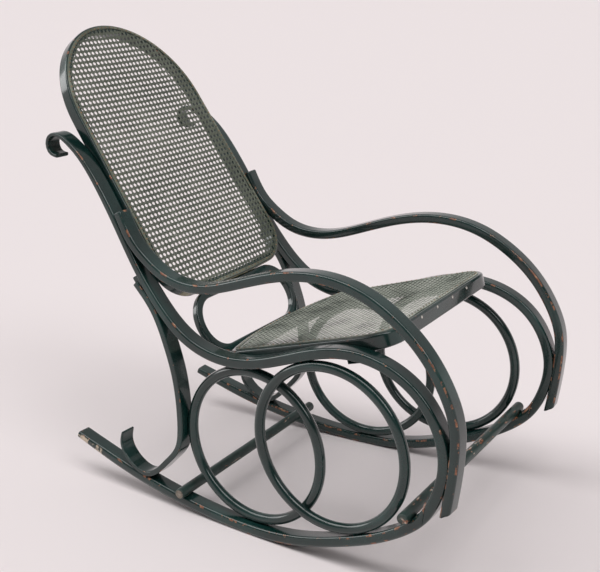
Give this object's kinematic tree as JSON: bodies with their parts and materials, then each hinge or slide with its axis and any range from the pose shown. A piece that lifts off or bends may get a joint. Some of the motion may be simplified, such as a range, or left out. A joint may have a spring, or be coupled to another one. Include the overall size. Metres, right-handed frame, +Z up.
{
  "type": "bentwood rocking chair",
  "caption": "Bentwood rocking chair with scrolled side frames, ringed runners, looping arms, and a caned seat and arched caned back",
  "frame": {"origin": "on the floor, under the middle of the chair's length and width", "axes": "+Z up, +X to the chair's left, a sitter looks towards -Y"},
  "size_m": [0.5984, 1.0538, 0.9852],
  "materials": {
    "painted_bentwood": "gloss paint, dark green, worn on the edges",
    "cane": "painted woven cane, satin",
    "cane_binding": "painted cane strip, satin",
    "tack": "worn bright heads"
  },
  "bodies": {
    "root": {"arm_left": "painted_bentwood", "arm_right": "painted_bentwood", "back_binding": "cane_binding", "back_cane": "cane", "back_frame": "painted_bentwood", "brace_spacer_left": "painted_bentwood", "brace_spacer_right": "painted_bentwood", "front_ring_left": "painted_bentwood", "front_ring_right": "painted_bentwood", "front_stretcher": "painted_bentwood", "hoop_block": "painted_bentwood", "rear_brace_left": "painted_bentwood", "rear_brace_right": "painted_bentwood", "rear_hoop": "painted_bentwood", "rear_ring_left": "painted_bentwood", "rear_ring_right": "painted_bentwood", "rear_stretcher": "painted_bentwood", "rim_tacks": "tack", "rocker_left": "painted_bentwood", "rocker_right": "painted_bentwood", "seat_binding": "cane_binding", "seat_block_left": "painted_bentwood", "seat_block_right": "painted_bentwood", "seat_cane": "cane", "seat_frame": "painted_bentwood", "side_rail_left": "painted_bentwood", "side_rail_right": "painted_bentwood"}
  },
  "joints": []
}
